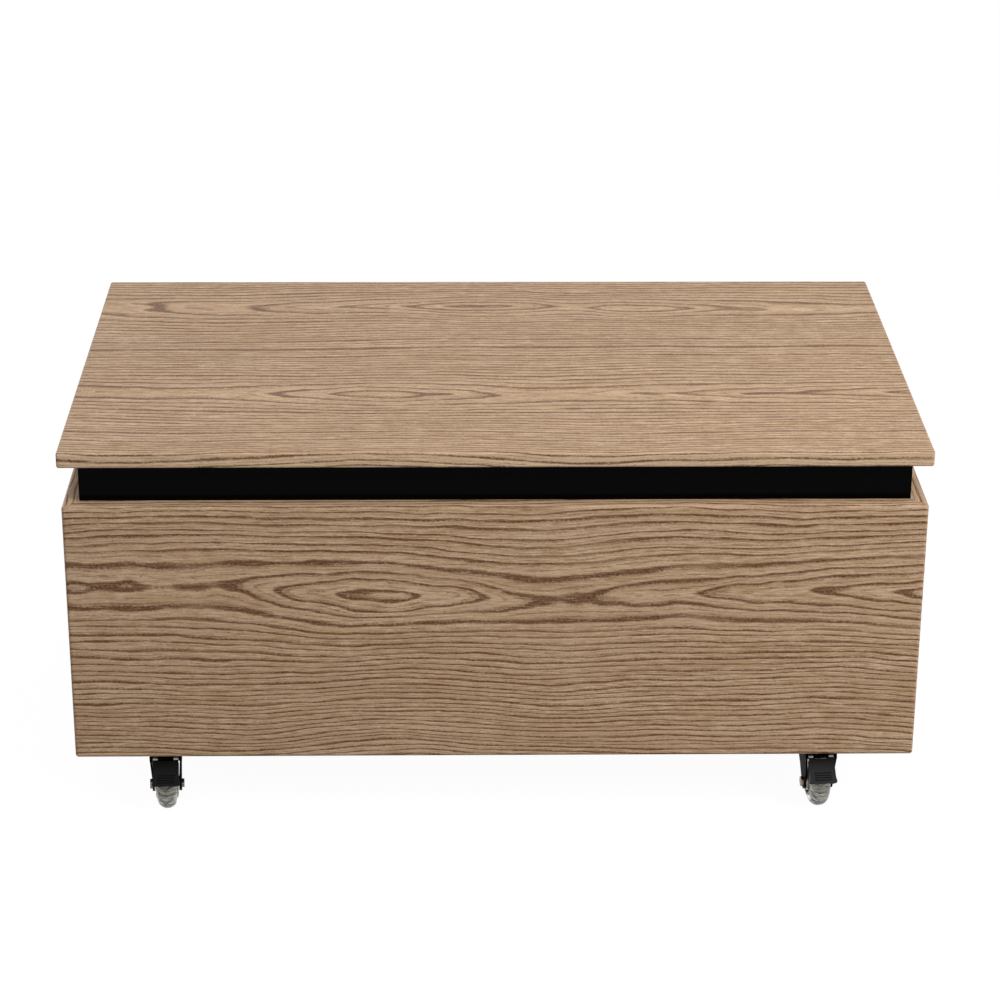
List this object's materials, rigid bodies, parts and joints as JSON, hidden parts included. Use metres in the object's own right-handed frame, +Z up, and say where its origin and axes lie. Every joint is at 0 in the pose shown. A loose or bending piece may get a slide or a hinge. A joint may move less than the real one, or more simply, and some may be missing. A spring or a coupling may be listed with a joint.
{
  "type": "lift top coffee table",
  "caption": "Box-shaped coffee table on swivel casters, with a floating top on a recessed black collar that lifts up and forward on spring-assisted parallel arms.",
  "frame": {"origin": "on the floor, under the middle of the table top", "axes": "+X the table's right seen from its front, -Y its front, +Z up"},
  "size_m": [1, 0.6, 0.476],
  "materials": {
    "oak_foil": "printed oak foil on board, satin",
    "black_gloss": "black gloss lacquer on board",
    "pine": "planed, raw",
    "black_steel": "black powder coat",
    "zinc": "bright zinc plate",
    "clear_grey": "clear, slightly grey",
    "cap_black": "moulded black",
    "bumper_rubber": "matt"
  },
  "bodies": {
    "box": {"front_panel": "oak_foil", "back_panel": "oak_foil", "side_panel_left": "oak_foil", "side_panel_right": "oak_foil", "bottom_panel": "oak_foil", "collar_front": "black_gloss", "collar_back": "black_gloss", "collar_left": "black_gloss", "collar_right": "black_gloss", "corner_posts": "pine", "bumpers": "bumper_rubber", "collar_screws": "zinc", "post_screws": "zinc", "lower_bracket_left": "black_steel", "lower_bracket_right": "black_steel", "lower_pins": "zinc", "lower_bracket_screws": "zinc", "spring_left": "zinc", "spring_right": "zinc", "caster_plates": "black_steel", "kingpins": "zinc", "swivel_balls": "zinc", "caster_screws": "zinc"},
    "front_arms": {"front_arm_left": "black_steel", "front_arm_right": "black_steel", "cross_tube": "black_steel"},
    "rear_arm_left": {"rear_arm_left": "black_steel"},
    "rear_arm_right": {"rear_arm_right": "black_steel"},
    "top": {"top_panel": "oak_foil", "upper_bracket_left": "black_steel", "upper_bracket_right": "black_steel", "upper_pins": "zinc", "upper_bracket_screws": "zinc"},
    "caster_front_left": {"fork_front_left": "black_steel", "axle_front_left": "zinc", "pedal_pin_left": "black_steel"},
    "wheel_front_left": {"tyre_front_left": "clear_grey", "hub_front_left": "clear_grey", "bearing_front_left": "zinc"},
    "pedal_left": {"pedal_lever_left": "zinc", "pedal_cap_left": "cap_black"},
    "caster_front_right": {"fork_front_right": "black_steel", "axle_front_right": "zinc", "pedal_pin_right": "black_steel"},
    "wheel_front_right": {"tyre_front_right": "clear_grey", "hub_front_right": "clear_grey", "bearing_front_right": "zinc"},
    "pedal_right": {"pedal_lever_right": "zinc", "pedal_cap_right": "cap_black"},
    "caster_rear_left": {"fork_rear_left": "black_steel", "axle_rear_left": "zinc"},
    "wheel_rear_left": {"tyre_rear_left": "clear_grey", "hub_rear_left": "clear_grey", "bearing_rear_left": "zinc"},
    "caster_rear_right": {"fork_rear_right": "black_steel", "axle_rear_right": "zinc"},
    "wheel_rear_right": {"tyre_rear_right": "clear_grey", "hub_rear_right": "clear_grey", "bearing_rear_right": "zinc"}
  },
  "joints": [
    {"name": "lift", "type": "hinge", "parent": "box", "child": "front_arms", "pos_m": [0, -0.16, 0.40531], "axis": [1, 0, 0], "range_deg": [0, 123], "deforming": ["spring_left", "spring_right"]},
    {"name": "rear_arm_left_swing", "type": "hinge", "parent": "box", "child": "rear_arm_left", "pos_m": [-0.4585, -0.05, 0.40531], "axis": [1, 0, 0], "range_deg": [0, 123]},
    {"name": "rear_arm_right_swing", "type": "hinge", "parent": "box", "child": "rear_arm_right", "pos_m": [0.4585, -0.05, 0.40531], "axis": [1, 0, 0], "range_deg": [0, 123]},
    {"name": "top_level", "type": "hinge", "parent": "front_arms", "child": "top", "pos_m": [0, 0.09806, 0.437], "axis": [1, 0, 0], "range_deg": [-123, 0]},
    {"name": "swivel_front_left", "type": "hinge", "parent": "box", "child": "caster_front_left", "pos_m": [-0.3955, -0.236, 0.07], "axis": [0, 0, 1], "continuous": true},
    {"name": "roll_front_left", "type": "hinge", "parent": "caster_front_left", "child": "wheel_front_left", "pos_m": [-0.39424, -0.25997, 0.03], "axis": [0.9986, 0.0523, 0], "continuous": true},
    {"name": "brake_left", "type": "hinge", "parent": "caster_front_left", "child": "pedal_left", "pos_m": [-0.39367, -0.27095, 0.0692], "axis": [0.9986, 0.0523, 0], "range_deg": [0, 10]},
    {"name": "swivel_front_right", "type": "hinge", "parent": "box", "child": "caster_front_right", "pos_m": [0.3885, -0.236, 0.07], "axis": [0, 0, 1], "continuous": true},
    {"name": "roll_front_right", "type": "hinge", "parent": "caster_front_right", "child": "wheel_front_right", "pos_m": [0.39059, -0.25991, 0.03], "axis": [0.9962, 0.0872, 0], "continuous": true},
    {"name": "brake_right", "type": "hinge", "parent": "caster_front_right", "child": "pedal_right", "pos_m": [0.39155, -0.27087, 0.0692], "axis": [0.9962, 0.0872, 0], "range_deg": [0, 10]},
    {"name": "swivel_rear_left", "type": "hinge", "parent": "box", "child": "caster_rear_left", "pos_m": [-0.3955, 0.236, 0.07], "axis": [0, 0, 1], "continuous": true},
    {"name": "roll_rear_left", "type": "hinge", "parent": "caster_rear_left", "child": "wheel_rear_left", "pos_m": [-0.3955, 0.26, 0.03], "axis": [-1, 0, 0], "continuous": true},
    {"name": "swivel_rear_right", "type": "hinge", "parent": "box", "child": "caster_rear_right", "pos_m": [0.3885, 0.236, 0.07], "axis": [0, 0, 1], "continuous": true},
    {"name": "roll_rear_right", "type": "hinge", "parent": "caster_rear_right", "child": "wheel_rear_right", "pos_m": [0.3885, 0.26, 0.03], "axis": [-1, 0, 0], "continuous": true}
  ],
  "couplings": [
    {"joint": "rear_arm_left_swing", "follows": "lift", "ratio": 1},
    {"joint": "rear_arm_right_swing", "follows": "lift", "ratio": 1},
    {"joint": "top_level", "follows": "lift", "ratio": -1}
  ]
}
